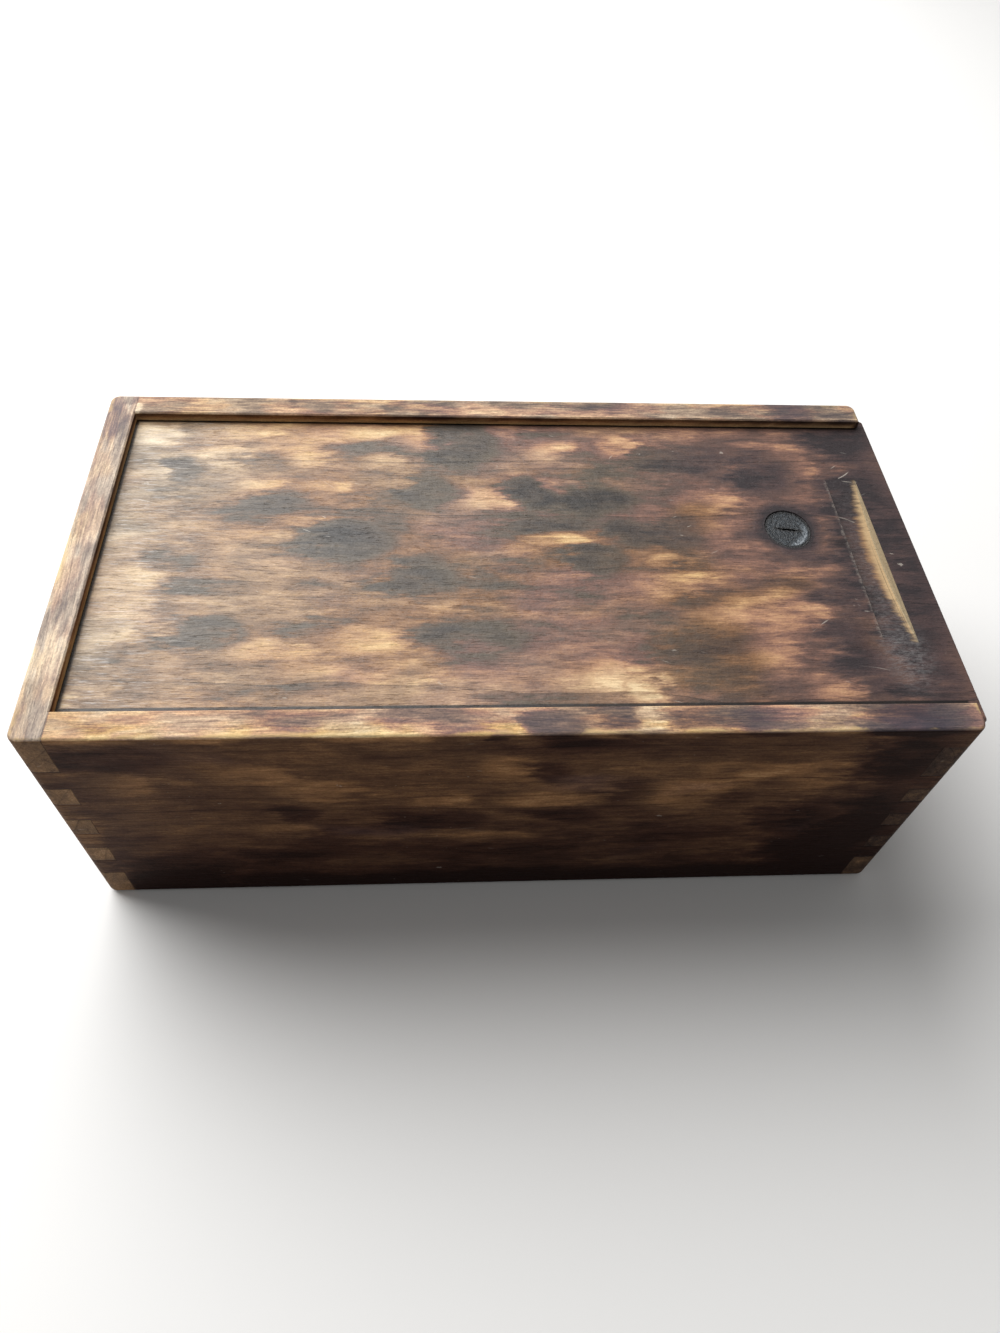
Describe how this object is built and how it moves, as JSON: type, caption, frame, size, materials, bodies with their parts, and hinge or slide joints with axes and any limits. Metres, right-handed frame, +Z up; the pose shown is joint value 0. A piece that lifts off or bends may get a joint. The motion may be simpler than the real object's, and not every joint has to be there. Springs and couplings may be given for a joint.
{
  "type": "sliding-lid wooden box",
  "caption": "Oblong wooden box with finger-jointed corners, a captured bottom and a flat lid that slides out lengthwise in grooves.",
  "frame": {"origin": "on the base plane, at the middle of the overall footprint, the lid's overhang included", "axes": "+X the way the lid slides out, +Y to the back, +Z up"},
  "size_m": [0.2314, 0.122, 0.084],
  "materials": {
    "scorched_wood": "torch-scorched in dark and tan patches, worn satin",
    "lid_wood": "torch-scorched in charcoal and tan patches, worn satin",
    "knot_wood": "charred, faintly glossy",
    "panel_wood": "bare, planed"
  },
  "bodies": {
    "box": {"front_board": "scorched_wood", "back_board": "scorched_wood", "closed_end_board": "scorched_wood", "open_end_board": "scorched_wood", "bottom_panel": "panel_wood"},
    "lid": {"sliding_lid": "lid_wood", "lid_knot": "knot_wood"}
  },
  "joints": [
    {"name": "lid_slide", "type": "slide", "parent": "box", "child": "lid", "axis": [1, 0, 0], "range_m": [0, 0.235]}
  ]
}
